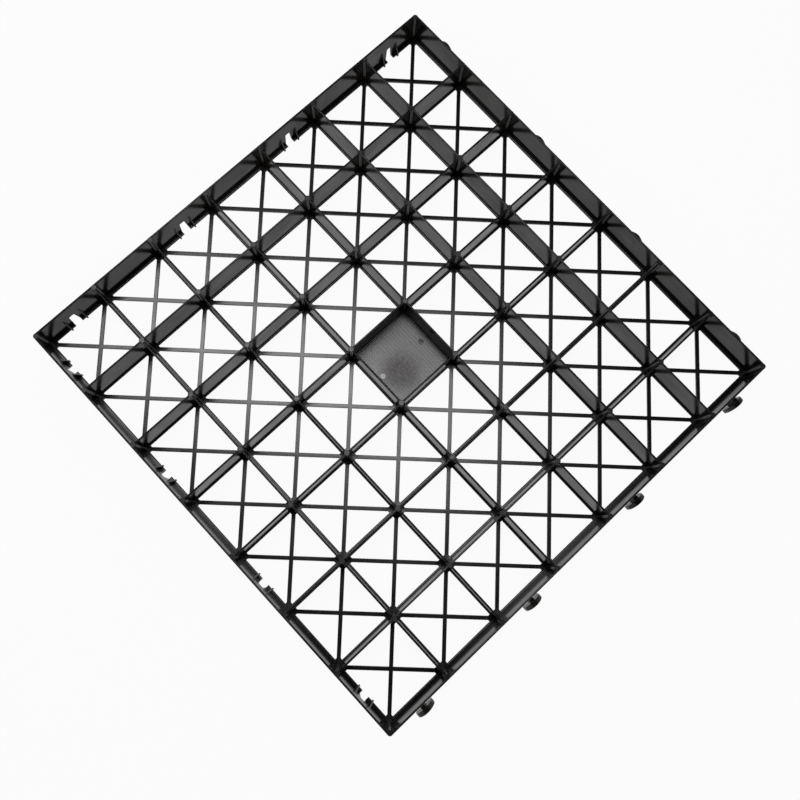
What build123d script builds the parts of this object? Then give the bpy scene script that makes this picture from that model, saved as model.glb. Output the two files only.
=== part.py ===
"""Square gravel grid: seven by seven open cells on a floor of crossed bars,
with T hooks on two sides and matching slots on the other two.

Millimetres, +Z up. The grid lies on the floor at z = 0 with the middle of its
underside at the origin. Hooks point along +X and +Y, slots open on -X and -Y.
"""

import math
import os

from build123d import *

# Overall grid
SIDE = 500.0  # outer wall face to outer wall face
HEIGHT = 40.0
CELLS = 7
WALL_T = 2.0
POST_D = 5.6  # round post at every wall crossing

# Floor bars
FLOOR_T = 2.5
FOOT_W = 5.2  # bar under each inner wall
CROSS_W = 4.0  # diagonal bar
CORNER_END = 1.9  # blunt end in the sharp corners of a floor opening

# T hook
NECK_W = 4.8
NECK_L = 7.1
HEAD_L = 20.0
HEAD_T = 5.0  # at the middle of the head
HEAD_BULGE = 0.8  # rise of the curved outer face
HEAD_R = 1.0
HEAD_ARCH = 12.0  # height of the half ellipse that rounds the top of the head

# Slot that drops over a hook of the next grid
SIDE_PLAY = 0.4
TOP_PLAY = 1.5
SLOT_H = 20.0
SLOT_FLARE = 1.5  # each side wider at the floor than at the top
SLOT_R = 1.0
LINKS = (0, 2, 4, 6)  # cells along a side that carry a hook or a slot

# Stiffening fins beside each slot
FIN_T = 1.6
FIN_GAP = 19.0  # between the two fins, middle to middle
FIN_H = 22.0
HEAD_PLAY = 0.4  # free space between fin tip and hook head

half = SIDE / 2
post_r = POST_D / 2
pitch = (SIDE - POST_D) / CELLS
middle = (CELLS - 1) / 2
hook_h = SLOT_H - TOP_PLAY
slot_top_w = NECK_W + 2 * SIDE_PLAY
slot_floor_w = slot_top_w + 2 * SLOT_FLARE
fin_depth = NECK_L - WALL_T - HEAD_PLAY


def place(index):
    """Middle of a cell along one axis."""
    return (index - middle) * pitch


def floor_opening():
    """Triangle between one foot bar and two diagonal bars, its sharp corners blunt."""
    base = (pitch - FOOT_W) / 2
    apex = CROSS_W / math.sqrt(2)
    reach = base - apex - CORNER_END
    low = base - CORNER_END
    return Polyline(
        (0, apex), (reach, low), (reach, base), (-reach, base), (-reach, low), close=True
    ).wire()


def floor_plate():
    """Foot bars and diagonal bars; the middle cell keeps a whole floor."""
    opening = floor_opening()
    openings = []
    for row in range(CELLS):
        for column in range(CELLS):
            if row == middle and column == middle:
                continue
            for turn in range(4):
                spot = Pos(place(column), place(row)) * Rot(0, 0, 90 * turn)
                openings.append(spot * opening)
    rim = RectangleRounded(SIDE, SIDE, post_r).wire()
    return extrude(Face(rim, openings), FLOOR_T)


def cell_outline(column, row):
    """Clear inside of a cell: four wall faces and a piece of four posts."""
    inner = (pitch - WALL_T) / 2
    outer = pitch / 2 + post_r - WALL_T
    west = outer if column == 0 else inner
    east = outer if column == CELLS - 1 else inner
    south = outer if row == 0 else inner
    north = outer if row == CELLS - 1 else inner
    arcs = []
    for x_sign, y_sign in ((1, 1), (-1, 1), (-1, -1), (1, -1)):
        x_face = east if x_sign > 0 else west
        y_face = north if y_sign > 0 else south
        node = pitch / 2
        side_y = node - math.sqrt(post_r**2 - (x_face - node) ** 2)
        side_x = node - math.sqrt(post_r**2 - (y_face - node) ** 2)
        near = node - post_r / math.sqrt(2)
        on_side = (x_sign * x_face, y_sign * side_y)
        on_end = (x_sign * side_x, y_sign * y_face)
        ends = (on_side, on_end) if x_sign == y_sign else (on_end, on_side)
        arcs.append(ThreePointArc(ends[0], (x_sign * near, y_sign * near), ends[1]))
    sides = [Line(arcs[k - 1] @ 1, arcs[k] @ 0) for k in range(4)]
    return Pos(place(column), place(row)) * Wire(arcs + sides)


def walls():
    """All walls and posts in one piece, standing on the floor bars."""
    cells = [cell_outline(c, r) for c in range(CELLS) for r in range(CELLS)]
    rim = RectangleRounded(SIDE, SIDE, post_r).wire()
    return Pos(0, 0, FLOOR_T) * extrude(Face(rim, cells), HEIGHT - FLOOR_T)


def hook():
    """T hook on the +X face: a straight neck and an arched head with a slightly curved back."""
    root = half - WALL_T / 2
    inside = half + NECK_L
    shoulder = inside + HEAD_T - HEAD_BULGE
    tip = HEAD_L / 2
    back = ThreePointArc((shoulder, -tip), (inside + HEAD_T, 0), (shoulder, tip))
    front = Polyline((shoulder, tip), (inside, tip), (inside, -tip), (shoulder, -tip))
    head = make_face(Wire([back, *front.edges()]))
    head = fillet(head.vertices(), HEAD_R)
    spring = hook_h - HEAD_ARCH
    arch = Pos(0, spring) * Ellipse(tip, HEAD_ARCH) + Pos(0, spring / 2) * Rectangle(HEAD_L, spring)
    arch = extrude(Plane((half, 0, 0), (0, 1, 0), (1, 0, 0)) * arch, NECK_L + 2 * HEAD_T)
    neck_l = inside + HEAD_R - root
    neck = Pos(root + neck_l / 2, 0) * Rectangle(neck_l, NECK_W)
    return (extrude(head, hook_h) & arch) + extrude(neck, hook_h)


def slot():
    """Tapered slot through the -X wall, open at the floor."""
    low, high = slot_floor_w / 2, slot_top_w / 2
    profile = Polyline((-low, 0), (-high, SLOT_H), (high, SLOT_H), (low, 0), close=True)
    face = make_face(profile)
    face = fillet(face.vertices().sort_by(Axis.Y)[-2:], SLOT_R)
    deep = POST_D + FOOT_W
    return extrude(Plane((-half - WALL_T, 0, 0), (0, 1, 0), (1, 0, 0)) * face, deep)


def fin():
    """Upright triangular fin on the inside of the -X wall."""
    root = -half + WALL_T / 2
    face_x = -half + WALL_T
    tip = face_x + fin_depth
    profile = Polyline(
        (root, 0), (tip, 0), (tip, FLOOR_T), (face_x, FIN_H), (root, FIN_H), close=True
    )
    return extrude(Plane.XZ * make_face(profile), FIN_T / 2, both=True)


def around(piece):
    """One piece repeated at every link of its own side and of the next side."""
    copies = []
    for turn in (0, 90):
        for index in LINKS:
            copies.append(Rot(0, 0, turn) * Pos(0, place(index)) * piece)
    return copies


grid = floor_plate() + walls()
fin_shape = fin()
grid = grid + around(Pos(0, FIN_GAP / 2) * fin_shape) + around(Pos(0, -FIN_GAP / 2) * fin_shape)
grid = grid + around(hook())
grid = grid - around(slot())

os.makedirs("parts", exist_ok=True)
export_step(grid, "parts/gravel_grid.step")
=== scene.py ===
# %% [markdown]
# # A black plastic gravel grid
# A gravel grid is one injection-moulded tile: upright walls round seven by seven
# open cells, a round post at every crossing, and a floor of thin bars that keeps
# the gravel in. The lesson builds the tile inside the frame that the CAD model
# gives, so every size here is in metres and nothing has to be fitted by eye.

# %% Load the frame
import math

import bmesh
import bpy
from mathutils import Matrix, Vector


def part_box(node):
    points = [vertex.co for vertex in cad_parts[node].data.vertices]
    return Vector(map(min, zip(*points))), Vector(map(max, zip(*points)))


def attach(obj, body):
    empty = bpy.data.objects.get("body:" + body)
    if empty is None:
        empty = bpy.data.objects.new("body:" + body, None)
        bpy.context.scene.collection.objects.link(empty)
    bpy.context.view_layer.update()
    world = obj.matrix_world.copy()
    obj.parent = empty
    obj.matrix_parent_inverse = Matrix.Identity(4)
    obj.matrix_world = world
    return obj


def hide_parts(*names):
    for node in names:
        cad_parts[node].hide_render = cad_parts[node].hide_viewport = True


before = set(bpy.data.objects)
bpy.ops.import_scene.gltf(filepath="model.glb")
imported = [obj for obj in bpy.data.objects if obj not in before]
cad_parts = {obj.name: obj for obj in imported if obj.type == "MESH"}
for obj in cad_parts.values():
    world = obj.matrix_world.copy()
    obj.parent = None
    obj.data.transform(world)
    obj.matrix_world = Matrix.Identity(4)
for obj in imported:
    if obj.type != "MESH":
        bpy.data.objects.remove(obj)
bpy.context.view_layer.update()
low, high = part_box("gravel_grid")
print("frame holds", sorted(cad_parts), "from", tuple(low), "to", tuple(high))

# %% [markdown]
# ## Sizes
# The tile is square and its two hook sides stick out on +X and +Y, so the slot
# sides give the outer wall face: it lies as far from the middle as the lowest
# corner of the box. Everything else is a moulding size in millimetres, turned
# into metres once, here, so that later cells read like a drawing.

# %% Sizes of the tile
MM = 0.001
CELLS = 7
HALF = -low.x
HEIGHT = high.z
WALL = 2.0 * MM
POST_R = 2.8 * MM
FLOOR = 2.5 * MM
FOOT = 5.2 * MM
CROSS = 4.0 * MM
PITCH = 2 * (HALF - POST_R) / CELLS
CORNER = 7.33 * MM  # from a post's axis to the blunt end of a floor opening
PLATE = 2.0 * MM  # the middle plate lies half a millimetre below the bars
MARK = 0.1 * MM  # how far a moulding mark stands off its surface
print(f"half side {HALF:.4f} m, height {HEIGHT:.4f} m, cell pitch {PITCH:.5f} m")

# %% [markdown]
# ## Camera
# The photograph looks almost straight down from a little under a metre away.
# Its place and turn were worked out from the edges of the floor bars, the wall
# tops and the rim. A Blender camera looks along its own -Z with +Y up, so its
# matrix is the picture's right, up and backward directions side by side. A small
# shift moves the optical axis to where the photograph has it.

# %% Camera
PICTURE = 800  # pixels along a side
FOCAL_PIXELS = 873.8
AXIS_PIXEL = (397.7, 391.3)
EYE = (0.1033, -0.1405, 0.8615)
right = Vector((0.68116, 0.73140, 0.03270))
up = Vector((-0.72603, 0.66905, 0.15890))
back = Vector((0.09434, -0.13199, 0.98675))

lens = bpy.data.cameras.new("photo_view")
lens.sensor_width = 36.0
lens.lens = FOCAL_PIXELS / PICTURE * lens.sensor_width
lens.shift_x = (PICTURE / 2 - AXIS_PIXEL[0]) / PICTURE
lens.shift_y = (AXIS_PIXEL[1] - PICTURE / 2) / PICTURE
lens.clip_start = 0.05
camera = bpy.data.objects.new("photo_view", lens)
turn = Matrix((right, up, back)).transposed().to_4x4()
camera.matrix_world = Matrix.Translation(EYE) @ turn
bpy.context.scene.collection.objects.link(camera)
bpy.context.scene.camera = camera
bpy.context.scene.view_settings.view_transform = "Standard"
print(f"lens {lens.lens:.2f} mm, shift {lens.shift_x:.4f}, {lens.shift_y:.4f}")

# %% [markdown]
# ## One class for node trees
# Materials and Geometry Nodes are both trees of nodes. Wiring them by hand takes
# many lines, so one small class stands for an output socket. Adding, scaling or
# comparing two of them adds a Math node, and `node` makes any other kind: its
# settings go in first, because they decide which sockets the node has.

# %% Wire
class Wire:
    """An output socket of a node tree; sums and products of wires add Math nodes."""

    def __init__(self, tree, socket=None):
        self.tree, self.socket = tree, socket

    def node(self, kind, settings=None, sockets=None, output=0):
        made = self.tree.nodes.new(kind)
        for name, value in (settings or {}).items():
            if name == "stops":
                for stop, (spot, shade) in zip(made.color_ramp.elements, value):
                    stop.position, stop.color = spot, shade
            else:
                setattr(made, name, value)
        for key, value in (sockets or {}).items():
            for one in value if isinstance(value, list) else [value]:
                if isinstance(one, Wire):
                    self.tree.links.new(one.socket, made.inputs[key])
                else:
                    made.inputs[key].default_value = one
        return Wire(self.tree, made.outputs[output]) if made.outputs else made

    def math(self, operation, first, second=0.0):
        return self.node("ShaderNodeMath", {"operation": operation}, {0: first, 1: second})

    def __add__(self, other):
        return self.math("ADD", self, other)

    def __radd__(self, other):
        return self.math("ADD", other, self)

    def __sub__(self, other):
        return self.math("SUBTRACT", self, other)

    def __rsub__(self, other):
        return self.math("SUBTRACT", other, self)

    def __mul__(self, other):
        return self.math("MULTIPLY", self, other)

    def __rmul__(self, other):
        return self.math("MULTIPLY", other, self)

    def __lt__(self, other):
        return self.math("LESS_THAN", self, other)

    def __gt__(self, other):
        return self.math("GREATER_THAN", self, other)


print("Wire ready")

# %% [markdown]
# ## Black plastic
# The tile is moulded from black, partly recycled plastic. It isn't one flat
# black: pigment and flow leave cloudy patches, the steel of the mould leaves a
# faint grain, stacking rubs the upper edges paler and duller, and here and there
# a nick shows grey. Each of those is a noise texture on Object coordinates, and
# they only touch colour, roughness, coat and a very shallow bump.

# %% Material helpers
def new_finish(name):
    """An empty material: its tree as a wire, and its Principled shader."""
    finish = bpy.data.materials.new(name)
    finish.use_nodes = True
    shader = finish.node_tree.nodes["Principled BSDF"]
    return finish, Wire(finish.node_tree), shader


def noise(tree, place, scale, detail, rough=0.5):
    """Cloudy values round 0.5 with blobs of about 1 / scale metres."""
    return tree.node(
        "ShaderNodeTexNoise",
        None,
        {"Vector": place, "Scale": scale, "Detail": detail, "Roughness": rough},
    )


def ramp(tree, value, start, end):
    """0 below start, 1 above end, with a soft change between them."""
    return tree.node(
        "ShaderNodeMapRange",
        {"interpolation_type": "SMOOTHSTEP"},
        {"Value": value, "From Min": start, "From Max": end},
    )


def blend(tree, share, first, second):
    """Colour going from the first to the second as the share goes from 0 to 1."""
    return tree.node("ShaderNodeMix", {"data_type": "RGBA"}, {0: share, 6: first, 7: second}, 2)


def join(tree, wire, shader, socket):
    tree.tree.links.new(wire.socket, shader.inputs[socket])


print("material helpers ready")

# %% [markdown]
# ## Polished walls, satin floor
# The mould is polished where the walls slide out of it and plain where the floor
# bars form, so one plastic shows two finishes. The walls carry a thin clear skin:
# a coat of about half weight mirrors the white ground sharply and leaves the black
# deep. In places the wall faces turn a warmer black. The bars have no coat, only a
# satin gloss of their own. The middle plate is scuffed, and its grey is also painted
# sheen. Its ribs are painted paler for the light on their tops. Off its middle the
# plate turns darker and a little purple in a mottled patch.

# %% Plastic finishes
# Centre of a darker, purplish mottled patch on the middle plate, about 12 mm off its middle.
DARK_PATCH_SPOT = (8 * MM, -9 * MM, PLATE)
DEEP, CLOUDY = (0.0026, 0.0036, 0.0033, 1), (0.0060, 0.0070, 0.0066, 1)
RUBBED, NICKED = (0.016, 0.018, 0.0175, 1), (0.16, 0.165, 0.163, 1)
WARM, PURPLE = (0.021, 0.0175, 0.0155, 1), (0.044, 0.029, 0.037, 1)


def moulded_plastic(name, deep, cloudy, gloss, grain_depth, coat=0.0, gate=False):
    """Black plastic: deep and cloudy shades, roughness, grain, clear coat, a darker purplish patch.
    """
    finish, tree, shader = new_finish(name)
    place = tree.node("ShaderNodeTexCoord", output="Object")
    level = tree.node("ShaderNodeSeparateXYZ", None, {0: place}, "Z")
    clouds = ramp(tree, noise(tree, place, 26.0, 4.0, 0.6), 0.32, 0.7)
    flow = tree.node("ShaderNodeMapping", None, {"Vector": place, "Scale": (14.0, 14.0, 220.0)})
    streaks = noise(tree, flow, 1.0, 3.0)
    grain = noise(tree, place, 1500.0, 3.0)
    edge = ramp(tree, level, HEIGHT - 1.2 * MM, HEIGHT - 0.1 * MM)
    rub = edge * ramp(tree, noise(tree, place, 240.0, 5.0, 0.7), 0.45, 0.68)
    shade = blend(tree, clouds, deep, cloudy)
    shade = blend(tree, rub * 0.5, shade, RUBBED)
    nick = ramp(tree, noise(tree, place, 330.0, 2.0), 0.74, 0.8)
    shade = blend(tree, nick * 0.8, shade, NICKED)
    dull = gloss + 0.05 * clouds + 0.08 * (streaks - 0.5) + 0.06 * (grain - 0.5) + 0.16 * rub
    # A darker, purplish mottled patch centred off the middle of the plate, a little rougher there
    # too.
    if gate:
        off = tree.node("ShaderNodeVectorMath", {"operation": "SUBTRACT"}, {0: place, 1: DARK_PATCH_SPOT})
        far = tree.node("ShaderNodeVectorMath", {"operation": "LENGTH"}, {0: off}, "Value")
        mottle = ramp(tree, noise(tree, place, 420.0, 4.0, 0.65), 0.3, 0.66)
        dark_patch = (1 - ramp(tree, far, 8 * MM, 27 * MM)) * (0.5 + 0.5 * mottle)
        shade = blend(tree, dark_patch, shade, PURPLE)
        dull = dull + 0.1 * dark_patch
    if coat:
        off_floor = ramp(tree, level, 3 * MM, 7 * MM)
        below_top = 1 - ramp(tree, level, HEIGHT - 3 * MM, HEIGHT - MM)
        warm = off_floor * below_top * ramp(tree, noise(tree, place, 9.0, 2.0), 0.45, 0.6)
        shade = blend(tree, warm, shade, WARM)
        shader.inputs["Specular IOR Level"].default_value = 0.0
        shader.inputs["Coat Roughness"].default_value = 0.14
        join(tree, coat * (0.8 + 0.25 * clouds + 0.3 * (streaks - 0.5)), shader, "Coat Weight")
    join(tree, shade, shader, "Base Color")
    join(tree, dull, shader, "Roughness")
    bump = tree.node(
        "ShaderNodeBump",
        None,
        {"Strength": 0.5, "Distance": grain_depth, "Height": grain + 0.6 * streaks},
    )
    join(tree, bump, shader, "Normal")
    return finish


polished_walls = moulded_plastic("polished_walls", DEEP, CLOUDY, 0.45, 0.02 * MM, coat=0.48)
satin_floor = moulded_plastic("satin_floor", DEEP, CLOUDY, 0.22, 0.02 * MM)
rubbed_tops = moulded_plastic(
    "rubbed_tops", (0.004, 0.005, 0.0048, 1), (0.010, 0.0115, 0.011, 1), 0.28, 0.04 * MM
)
# The plate's grey is partly scuffing and partly painted sheen: far paler than the black plastic, it
# stands in for the lamp's light on the plate.
scuffed_plate_painted_sheen = moulded_plastic(
    "scuffed_plate_painted_sheen", (0.09, 0.093, 0.090, 1), (0.13, 0.134, 0.130, 1), 0.27, 0.03 * MM, gate=True
)
# Painted light: the ribs are painted paler than the plate between them, standing in for the light on
# their tops.
ribs_painted_lit = moulded_plastic(
    "ribs_painted_lit", (0.17, 0.175, 0.171, 1), (0.22, 0.226, 0.221, 1), 0.27, 0.03 * MM, gate=True
)
pin_polish = moulded_plastic("pin_polish", DEEP, CLOUDY, 0.06, 0.004 * MM)
finishes = (polished_walls, satin_floor, rubbed_tops, scuffed_plate_painted_sheen, ribs_painted_lit, pin_polish)
print("finishes:", [finish.name for finish in finishes])

# %% [markdown]
# ## From rings to a moulded block
# Hooks, slots, fins and posts are all skins over a row of rings: the same number
# of points in every ring, faces between neighbours, and a cap at both ends.
# Rounded corners are worked out from the corner's own angle. A bevel on chosen
# edges gives the small round that every moulded edge has, and that is what
# catches the light on a black part.

# %% Skins and outlines
def skin(rings, sliced=False):
    """Closed skin over rings of points; a sliced cap has upright strips, not one face."""
    shape = bmesh.new()
    made = [[shape.verts.new(point) for point in ring] for ring in rings]
    count = len(made[0])
    for under, over in zip(made, made[1:]):
        for k in range(count):
            shape.faces.new((under[k - 1], under[k], over[k], over[k - 1]))
    for ring in (made[0], made[-1]):
        if sliced:
            for k in range(count // 2 - 1):
                shape.faces.new((ring[k], ring[k + 1], ring[count - 2 - k], ring[count - 1 - k]))
        else:
            shape.faces.new(ring)
    bmesh.ops.recalc_face_normals(shape, faces=shape.faces)
    return shape


def finished(name, shape):
    """Object that holds the shape as its mesh."""
    mesh = bpy.data.meshes.new(name)
    shape.to_mesh(mesh)
    shape.free()
    return bpy.data.objects.new(name, mesh)


def rounded(outline, steps=4):
    """Outline of (u, v, radius) corners with each radius turned into an arc."""
    points = []
    for index, (u, v, radius) in enumerate(outline):
        here = Vector((u, v))
        if radius == 0:
            points.append(here)
            continue
        before = (Vector(outline[index - 1][:2]) - here).normalized()
        after = (Vector(outline[(index + 1) % len(outline)][:2]) - here).normalized()
        half_angle = before.angle(after) / 2
        centre = here + (before + after).normalized() * radius / math.sin(half_angle)
        first = here + before * radius / math.tan(half_angle) - centre
        last = here + after * radius / math.tan(half_angle) - centre
        sweep = first.angle_signed(last)
        for step in range(steps + 1):
            points.append(centre + Matrix.Rotation(-sweep * step / steps, 2) @ first)
    return points


def block(name, outline, start, end, axes, edge=0.0, keep=lambda v: True):
    """Outline pushed from start to end along the last of three axes, edges softened."""
    frame_of = Matrix(axes).transposed()
    shape = skin([[frame_of @ Vector((p.x, p.y, w)) for p in outline] for w in (start, end)])
    if edge:
        sharp = [
            e
            for e in shape.edges
            if e.calc_face_angle() > math.radians(40) and all(keep(v.co) for v in e.verts)
        ]
        bmesh.ops.bevel(
            shape,
            geom=sharp,
            offset=edge,
            segments=2,
            profile=0.5,
            affect="EDGES",
            clamp_overlap=True,
        )
    return finished(name, shape)


X, Y, Z = (1, 0, 0), (0, 1, 0), (0, 0, 1)
print("outline helpers ready")

# %% [markdown]
# ## Hook
# Tiles join without tools: a T hook on one tile is covered by a slot in the wall
# of the next. The head is a tongue with an arched top, half an ellipse, and a back
# that curves away a little, so that it slides in. Its skin runs from the flat front
# over a soft edge to the curved back, ring by ring, each drawn in by a little less.

# %% Hook
NECK, NECK_LONG, HOOK_HIGH = 4.8 * MM, 7.1 * MM, 18.5 * MM
TIP, HEAD_BULGE = 10.0 * MM, 0.8 * MM
HEAD_EDGE, HEAD_ARCH, HEAD_STEPS = 0.5 * MM, 12.0 * MM, 10
inside = HALF + NECK_LONG
HEAD_THICK = high.x - inside
back_r = (TIP**2 + HEAD_BULGE**2) / (2 * HEAD_BULGE)


def head_ring(inset, from_front=None, from_back=None):
    """Outline of the head drawn in by inset, at a depth from its front or its back."""
    top = []
    for k in range(2 * HEAD_STEPS + 1):
        angle = math.pi / 2 * k / HEAD_STEPS
        rise = (HEAD_ARCH - inset) * math.sin(angle)
        top.append(((TIP - inset) * math.cos(angle), HOOK_HIGH - HEAD_ARCH + rise))
    ring = []
    for y, z in top + [(y, 0.0) for y, z in reversed(top)]:
        back_x = inside + HEAD_THICK - back_r + math.sqrt(back_r**2 - y**2)
        ring.append((inside + from_front if from_back is None else back_x - from_back, y, z))
    return ring


soft = []
for angle in (0, math.pi / 4, math.pi / 2):
    soft.append((HEAD_EDGE * (1 - math.sin(angle)), HEAD_EDGE * (1 - math.cos(angle))))
head_rings = [head_ring(inset, from_front=depth) for inset, depth in soft]
head_rings += [head_ring(inset, from_back=depth) for inset, depth in reversed(soft)]
hook_head = finished("hook_head", skin(head_rings, sliced=True))
neck_outline = rounded(
    [
        (HALF - WALL / 2, -NECK / 2, 0),
        (inside + HEAD_EDGE, -NECK / 2, 0),
        (inside + HEAD_EDGE, NECK / 2, 0),
        (HALF - WALL / 2, NECK / 2, 0),
    ]
)
hook_neck = block(
    "hook_neck", neck_outline, 0, HOOK_HIGH, (X, Y, Z), 0.5 * MM,
    lambda v: v.z > 0 and HALF - WALL / 2 - 1e-6 < v.x,
)
print("hook reaches", round(inside + HEAD_THICK, 5), "m from the middle")

# %% [markdown]
# ## Slot and fin
# The slot is wider at the floor than at its top so that it finds the neck, and
# two fins hold the cut wall stiff. The slot is only a cutter here, so it runs
# past both faces of the wall.

# %% Slot and fin
SLOT_HIGH, SLOT_TOP, SLOT_FOOT = 20.0 * MM, 5.6 * MM, 8.6 * MM
spread = (SLOT_FOOT - SLOT_TOP) / 2 / SLOT_HIGH * MM  # the taper goes on below the floor
slot_outline = rounded(
    [
        (SLOT_FOOT / 2 + spread, -MM, 0),
        (SLOT_TOP / 2, SLOT_HIGH, MM),
        (-SLOT_TOP / 2, SLOT_HIGH, MM),
        (-SLOT_FOOT / 2 - spread, -MM, 0),
    ]
)
slot = block("slot", slot_outline, -HALF - 2 * MM, -HALF + 8.8 * MM, (Y, Z, X))

FIN_HIGH, FIN_DEEP, FIN_THICK, FIN_GAP = 22.0 * MM, 4.7 * MM, 1.6 * MM, 19.0 * MM
face_x = -HALF + WALL
fin_outline = rounded(
    [
        (0, -HALF + WALL / 2, 0),
        (0, face_x + FIN_DEEP, 0),
        (FLOOR, face_x + FIN_DEEP, 0),
        (FIN_HIGH, face_x, 0),
        (FIN_HIGH, -HALF + WALL / 2, 0),
    ]
)
fin = block(
    "fin", fin_outline, -FIN_THICK / 2, FIN_THICK / 2, (Z, X, Y), 0.25 * MM,
    lambda v: v.x > face_x - 1e-6 and v.z > FLOOR / 2,
)
link_shapes = (hook_head, hook_neck, slot, fin)
print("link shapes:", {o.name: len(o.data.polygons) for o in link_shapes}, "faces")

# %% [markdown]
# ## Posts and marks
# A post is round, so its rings are circles. It stops a tenth of a millimetre low,
# because the rubbed disc on its top is a piece of its own. The same way gives the
# ejector pins' marks on the middle plate and the ring where the plastic went in.

# %% Turned shapes
def turned(name, outline, sides):
    """Outline of (radius, height) pairs, from bottom to top, spun about Z."""
    rings = []
    for radius, height in outline:
        turns = [2 * math.pi * k / sides for k in range(sides)]
        rings.append([(radius * math.cos(a), radius * math.sin(a), height) for a in turns])
    return finished(name, skin(rings))


def round_top(radius, bottom, top, soft, steps=3):
    """Outline of a round post whose top edge is softened."""
    outline = [(radius, bottom)]
    for step in range(steps + 1):
        angle = math.pi / 2 * step / steps
        across, up_by = soft * math.cos(angle), soft * math.sin(angle)
        outline.append((radius - soft + across, top - soft + up_by))
    return outline


post = turned("post", round_top(POST_R, 0, HEIGHT - MARK, 0.4 * MM), 32)
top_disc = turned("top_disc", round_top(2.35 * MM, HEIGHT - 3 * MARK, HEIGHT, 0.08 * MM, 2), 24)
pin_disc = turned("pin_disc", round_top(2.8 * MM, PLATE - MARK, PLATE + 3 * MARK, 0.08 * MM, 2), 32)
gate_ring = [(6.8, -0.1), (6.8, 0.22), (6.7, 0.26), (5.9, 0.26), (5.7, 0.22)]
gate_pip = [(1.9, 0.22), (1.7, 0.27), (1.4, 0.3), (0.5, 0.3)]
gate_outline = [(r * MM, PLATE + z * MM) for r, z in gate_ring + gate_pip]
gate_disc = turned("gate_disc", gate_outline, 48)
turned_shapes = (post, top_disc, pin_disc, gate_disc)
print("turned shapes:", {o.name: len(o.data.polygons) for o in turned_shapes}, "faces")

# %% [markdown]
# ## Rules
# The tile is a textbook case for Geometry Nodes: one wall, one bar and one post,
# each repeated on a line or a grid of points. A rule is such a tree with a named
# input for every size. It is run once, and its result is kept as a plain mesh.

# %% Rule
SOCKETS = {
    float: "NodeSocketFloat",
    int: "NodeSocketInt",
    bpy.types.Object: "NodeSocketObject",
    bpy.types.Material: "NodeSocketMaterial",
}


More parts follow.
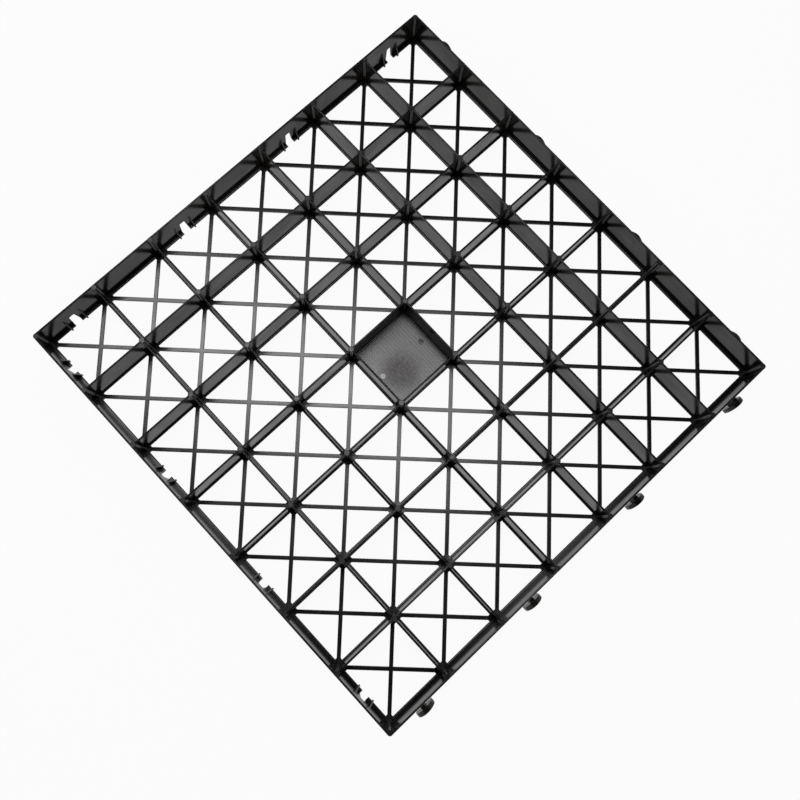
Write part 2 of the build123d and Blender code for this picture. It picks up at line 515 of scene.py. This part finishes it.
class Rule(Wire):
    """A Geometry Nodes tree with a named input for each of its sizes."""

    def __init__(self, name, sizes):
        super().__init__(bpy.data.node_groups.new(name, "GeometryNodeTree"))
        made = self.tree.interface
        made.new_socket("Geometry", in_out="OUTPUT", socket_type="NodeSocketGeometry")
        self.sizes, self.names = sizes, {}
        for label, value in sizes.items():
            socket = made.new_socket(label, in_out="INPUT", socket_type=SOCKETS[type(value)])
            self.names[label] = socket.identifier
        self.start = self.tree.nodes.new("NodeGroupInput")

    def __getitem__(self, label):
        return Wire(self.tree, self.start.outputs[label])

    def vector(self, x=0.0, y=0.0, z=0.0):
        return self.node("ShaderNodeCombineXYZ", None, {0: x, 1: y, 2: z})

    def bar(self, width, height, length, soft, bottom=0.0):
        """Bar along X with rounded edges."""
        section = self.node(
            "GeometryNodeCurvePrimitiveQuadrilateral", None, {"Width": width, "Height": height}
        )
        section = self.node(
            "GeometryNodeFilletCurve",
            {"mode": "POLY"},
            {"Curve": section, "Count": 3, "Radius": soft},
        )
        level = height * 0.5 + bottom
        start = self.vector(length * -0.5, 0.0, level)
        end = self.vector(length * 0.5, 0.0, level)
        path = self.node("GeometryNodeCurvePrimitiveLine", None, {"Start": start, "End": end})
        return self.node(
            "GeometryNodeCurveToMesh",
            None,
            {"Curve": path, "Profile Curve": section, "Fill Caps": True},
        )

    def turned_by(self, shape, degrees):
        return self.node(
            "GeometryNodeTransform", None, {0: shape, "Rotation": (0, 0, math.radians(degrees))}
        )

    def moved_by(self, shape, offset):
        return self.node("GeometryNodeTransform", None, {0: shape, "Translation": offset})

    def line(self, count, step):
        """Points along Y, evenly spaced and centred."""
        first = self.vector(0.0, (count - 1) * step * -0.5)
        offset = self.vector(0.0, step)
        return self.node(
            "GeometryNodeMeshLine", None, {"Count": count, "Start Location": first, "Offset": offset}
        )

    def square(self, count, step):
        """Points in a square, evenly spaced and centred."""
        side = (count - 1) * step
        return self.node(
            "GeometryNodeMeshGrid",
            None,
            {"Size X": side, "Size Y": side, "Vertices X": count, "Vertices Y": count},
        )

    def copies(self, shape, points):
        return self.node(
            "GeometryNodeInstanceOnPoints", None, {"Points": points, "Instance": shape}
        )

    def both_ways(self, shape):
        """The same copies along X and, turned, along Y."""
        return [shape, self.turned_by(shape, 90)]

    def shape(self, label):
        return self.node("GeometryNodeObjectInfo", None, {"Object": self[label]}, "Geometry")

    def smooth(self, shape):
        """Smooth shading, with a crease wherever the skin bends sharply."""
        bend = self.node("GeometryNodeInputMeshEdgeAngle")
        soft = self.node("GeometryNodeSetShadeSmooth", None, {0: shape, "Shade Smooth": True})
        return self.node(
            "GeometryNodeSetShadeSmooth",
            {"domain": "EDGE"},
            {0: soft, "Shade Smooth": bend < math.radians(32)},
        )

    def grow(self, name, shape, helpers, coats):
        """Ends the rule, runs it once and keeps the result as a plain mesh on the tile."""
        scene = bpy.context.scene
        result = self.node("GeometryNodeRealizeInstances", None, {0: shape})
        for label, chosen in coats:
            result = self.node(
                "GeometryNodeSetMaterial",
                None,
                {0: result, "Selection": chosen, "Material": self[label]},
            )
        self.node("NodeGroupOutput", None, {0: result})
        for helper in helpers:
            scene.collection.objects.link(helper)
        seed = bpy.data.objects.new(name + "_seed", bpy.data.meshes.new(name + "_seed"))
        scene.collection.objects.link(seed)
        modifier = seed.modifiers.new("rule", "NODES")
        modifier.node_group = self.tree
        for label, value in self.sizes.items():
            modifier[self.names[label]] = value
        even = seed.modifiers.new("even", "WEIGHTED_NORMAL")
        even.keep_sharp = True
        depsgraph = bpy.context.evaluated_depsgraph_get()
        mesh = bpy.data.meshes.new_from_object(seed.evaluated_get(depsgraph), depsgraph=depsgraph)
        for used in (seed, *helpers):
            bpy.data.objects.remove(used)
        mesh.name = name
        piece = bpy.data.objects.new(name, mesh)
        scene.collection.objects.link(piece)
        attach(piece, "root")
        mesh.calc_loop_triangles()
        print(name + ":", len(mesh.loop_triangles), "triangles")
        return piece


print("rules take", sorted(kind.__name__ for kind in SOCKETS))

# %% [markdown]
# ## The lattice
# Bars and walls are rounded rectangles swept along a straight path. Every copy is
# a closed shape, so one Boolean union welds them into a single skin like the real
# moulding, and a second Boolean cuts the slots. The wall tops are almost fully
# round, and the bars under the walls have round shoulders, which is why both look
# dark beside the flat floor bars in the same light.

# %% Walls and foot bars
tile = Rule(
    "tile_rule",
    {
        "Cells": CELLS,
        "Pitch": PITCH,
        "Outer Face": HALF,
        "Height": HEIGHT - MARK,
        "Wall": WALL,
        "Wall Round": 0.85 * MM,
        "Post Radius": POST_R,
        "Floor": FLOOR,
        "Foot": FOOT,
        "Foot Round": 1.2 * MM,
        "Cross": CROSS,
        "Corner": CORNER,
        "Plate": PLATE,
        "Bar Round": 0.45 * MM,
        "Fin Gap": FIN_GAP,
        "Post": post,
        "Hook Head": hook_head,
        "Hook Neck": hook_neck,
        "Fin": fin,
        "Slot": slot,
        "Wall Finish": polished_walls,
        "Floor Finish": satin_floor,
        "Plate Finish": scuffed_plate_painted_sheen,
    },
)
span = tile["Pitch"] * tile["Cells"]
inner = tile.line(tile["Cells"] - 1, tile["Pitch"])
wall = tile.bar(tile["Wall"], tile["Height"], span, tile["Wall Round"])
foot = tile.bar(tile["Foot"], tile["Floor"], span, tile["Foot Round"])
rim_width = tile["Foot"] * 0.5 + tile["Post Radius"]
rim = tile.bar(rim_width, tile["Floor"], span, tile["Foot Round"])
shapes = tile.both_ways(tile.copies(wall, inner)) + tile.both_ways(tile.copies(foot, inner))
shapes += tile.both_ways(tile.copies(wall, tile.line(2, tile["Outer Face"] * 2 - tile["Wall"])))
shapes += tile.both_ways(tile.copies(rim, tile.line(2, tile["Outer Face"] * 2 - rim_width)))
print("walls and foot bars:", len(shapes), "sets of copies")

# %% [markdown]
# ## Floor of a cell
# Two diagonal bars cross in every cell but the middle one, which keeps a whole
# plate where the plastic was let into the mould. The sharp ends of the openings
# are blunt on the real tile: a square of plastic in each corner gives exactly
# that, because it fills the sliver between the bars and nothing else.

# %% Cell floors, posts and links
spot = tile.node("GeometryNodeInputPosition")
off_middle = tile.node("ShaderNodeVectorMath", {"operation": "LENGTH"}, {0: spot}, "Value")
open_cells = tile.node(
    "GeometryNodeDeleteGeometry",
    None,
    {0: tile.square(tile["Cells"], tile["Pitch"]), "Selection": off_middle < tile["Pitch"] * 0.5},
)
diagonal = tile.bar(tile["Cross"], tile["Floor"], tile["Pitch"] * math.sqrt(2), tile["Bar Round"])
for degrees in (45, -45):
    shapes.append(tile.copies(tile.turned_by(diagonal, degrees), open_cells))
corner = tile.bar(tile["Corner"], tile["Floor"], tile["Corner"], tile["Bar Round"])
reach = (tile["Pitch"] - tile["Corner"]) * 0.5
for x_side in (-1, 1):
    for y_side in (-1, 1):
        moved = tile.moved_by(corner, tile.vector(reach * x_side, reach * y_side))
        shapes.append(tile.copies(moved, open_cells))
shapes.append(tile.bar(tile["Pitch"], tile["Plate"], tile["Pitch"], tile["Bar Round"]))

shapes.append(tile.copies(tile.shape("Post"), tile.square(tile["Cells"] + 1, tile["Pitch"])))
links = tile.line((tile["Cells"] + 1) * 0.5, tile["Pitch"] * 2)
for label in ("Hook Head", "Hook Neck"):
    shapes += tile.both_ways(tile.copies(tile.shape(label), links))
for side in (-0.5, 0.5):
    shifted = tile.moved_by(tile.shape("Fin"), tile.vector(0.0, tile["Fin Gap"] * side))
    shapes += tile.both_ways(tile.copies(shifted, links))
print("with floor, posts and links:", len(shapes), "sets of copies")

# %% [markdown]
# ## One skin
# The weld leaves large flat faces beside narrow round ones. Weighted normals
# let the large faces win, so the walls stay flat mirrors right up to their
# edges. Last, everything gets the wall finish, faces no higher than the floor
# bars get the floor finish, and the level face of the middle plate its own.

# %% Weld, slots and finishes
welded = tile.node(
    "GeometryNodeMeshBoolean", {"operation": "UNION", "solver": "MANIFOLD"}, {1: shapes}
)
cut = tile.node(
    "GeometryNodeMeshBoolean",
    {"operation": "DIFFERENCE", "solver": "MANIFOLD"},
    {0: welded, 1: tile.both_ways(tile.copies(tile.shape("Slot"), links))},
)
level = tile.node("ShaderNodeSeparateXYZ", None, {0: spot}, "Z")
facing = tile.node("ShaderNodeSeparateXYZ", None, {0: tile.node("GeometryNodeInputNormal")}, "Z")
NEAR = 0.02 * MM
near_plate = (level > tile["Plate"] - NEAR) * (level < tile["Plate"] + NEAR)
grid_tile = tile.grow(
    "grid_tile",
    tile.smooth(cut),
    (post, hook_head, hook_neck, fin, slot),
    [
        ("Wall Finish", True),
        ("Floor Finish", level < tile["Floor"] + NEAR),
        ("Plate Finish", near_plate * (facing > 0.99)),
    ],
)
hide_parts("gravel_grid")

# %% [markdown]
# ## Rubbed post tops
# Tiles are stacked on their posts, so all sixty-four tops are rubbed to a satin
# that is a little paler than the walls. One thin disc on a square of points covers
# them all.

# %% Post tops
tops = Rule(
    "post_top_rule", {"Posts": CELLS + 1, "Pitch": PITCH, "Disc": top_disc, "Finish": rubbed_tops}
)
discs = tops.copies(tops.shape("Disc"), tops.square(tops["Posts"], tops["Pitch"]))
discs = tops.node("GeometryNodeRealizeInstances", None, {0: discs})
tops.grow("post_tops", tops.smooth(discs), (top_disc,), [("Finish", True)])

# %% [markdown]
# ## Middle plate
# The plate carries fine ribs from one side to the other, two round marks from
# the pins that pushed the tile out of the mould, and a plain ring at the gate.
# The pins are polished, so one of them mirrors the lamp and the other the dark.

# %% Plate details
# The ribs wear a finish painted paler, as the light on their tops.
ribs = Rule(
    "rib_rule",
    {
        "Ribs": 19,
        "Spacing": 3.3 * MM,
        "Width": 1.5 * MM,
        "Height": 0.4 * MM,
        "Length": 61.0 * MM,
        "Round": 0.18 * MM,
        "Bottom": PLATE - 0.2 * MM,
        "Finish": ribs_painted_lit,
    },
)
rib = ribs.bar(ribs["Width"], ribs["Height"], ribs["Length"], ribs["Round"], ribs["Bottom"])
row = ribs.copies(rib, ribs.line(ribs["Ribs"], ribs["Spacing"]))
row = ribs.node("GeometryNodeRealizeInstances", None, {0: row})
ribs.grow("plate_ribs", ribs.smooth(row), (), [("Finish", True)])

pins = Rule("pin_rule", {"Pins": 2, "Apart": 52.0 * MM, "Disc": pin_disc, "Finish": pin_polish})
pair = pins.copies(pins.shape("Disc"), pins.line(pins["Pins"], pins["Apart"]))
pair = pins.node("GeometryNodeRealizeInstances", None, {0: pair})
pins.grow("pin_marks", pins.smooth(pair), (pin_disc,), [("Finish", True)])

# The gate ring wears the plate's finish, with its painted sheen.
gate = Rule("gate_rule", {"Ring": gate_disc, "Finish": scuffed_plate_painted_sheen})
gate.grow("gate_mark", gate.smooth(gate.shape("Ring")), (gate_disc,), [("Finish", True)])

# %% [markdown]
# ## Floor and light
# The tile lies on a plain white floor. For camera and mirror rays most of the
# floor's white is its own, so the background stays white and shows in the glossy
# walls, while the rest is ordinary shading that keeps the shadow. One long soft
# lamp hangs almost overhead, where the flat bars mirror it towards the camera;
# pale light from all round near the horizon fills in the rest. The horizon itself
# looks white, like the floor, and straight above it is dark.

# %% Floor, lamp and surroundings
FLOOR_GREY = (0.88, 0.88, 0.88, 1)
OWN_WHITE = 0.94  # share of the floor's white that is its own
WHITE = (1, 1, 1, 1)


def seen_ray(tree):
    """1 for rays that show the backdrop: from the camera, mirrored or seen through."""
    path = tree.tree.nodes.new("ShaderNodeLightPath")
    camera_ray = Wire(tree.tree, path.outputs["Is Camera Ray"])
    mirrored = Wire(tree.tree, path.outputs["Is Glossy Ray"])
    through = Wire(tree.tree, path.outputs["Is Transmission Ray"])
    return camera_ray + mirrored + through > 0.5


def floor_finish():
    finish, tree, shader = new_finish("studio_floor")
    shader.inputs["Base Color"].default_value = FLOOR_GREY
    shader.inputs["Roughness"].default_value = 0.9
    white = tree.node("ShaderNodeEmission", None, {"Color": WHITE, "Strength": 1.0})
    own = Wire(tree.tree, shader.outputs[0])
    share = seen_ray(tree) * OWN_WHITE
    mixed = tree.node("ShaderNodeMixShader", None, {0: share, 1: own, 2: white})
    join(tree, mixed, finish.node_tree.nodes["Material Output"], "Surface")
    return finish


ground = bmesh.new()
bmesh.ops.create_grid(ground, x_segments=1, y_segments=1, size=12.0)
bmesh.ops.translate(ground, verts=ground.verts, vec=(0, 0, -0.1 * MM))
floor_mesh = bpy.data.meshes.new("studio_floor")
ground.to_mesh(floor_mesh)
ground.free()
floor = bpy.data.objects.new("studio_floor", floor_mesh)
floor.data.materials.append(floor_finish())
bpy.context.scene.collection.objects.link(floor)


def soft_lamp(name, place, degrees, width, depth, watts):
    """A flat lamp that hangs level, turned about its upright."""
    light = bpy.data.lights.new(name, "AREA")
    light.shape = "RECTANGLE"
    light.size, light.size_y = width, depth
    light.energy = watts
    lamp = bpy.data.objects.new(name, light)
    lamp.location = place
    lamp.rotation_euler = (0, 0, math.radians(degrees))
    bpy.context.scene.collection.objects.link(lamp)
    return lamp


LAMP_PLACE, LAMP_TURN = (-0.395, 0.011, 1.6), 28.8
soft_lamp("overhead_lamp", LAMP_PLACE, LAMP_TURN, width=1.15, depth=0.335, watts=10.7)

world = bpy.data.worlds.new("surroundings")
bpy.context.scene.world = world
world.use_nodes = True
sky = Wire(world.node_tree)
direction = sky.node("ShaderNodeTexCoord", output="Generated")
rise = sky.node("ShaderNodeSeparateXYZ", None, {0: direction}, "Z")
FILL, OVERHEAD = (0.6, 0.6, 0.6, 1), (0.04, 0.04, 0.04, 1)
horizon = blend(sky, seen_ray(sky), FILL, WHITE)
tone = blend(sky, ramp(sky, rise, 0.5, 0.85), horizon, OVERHEAD)
join(sky, tone, world.node_tree.nodes["Background"], "Color")
print("stage: floor, overhead lamp, pale surroundings")
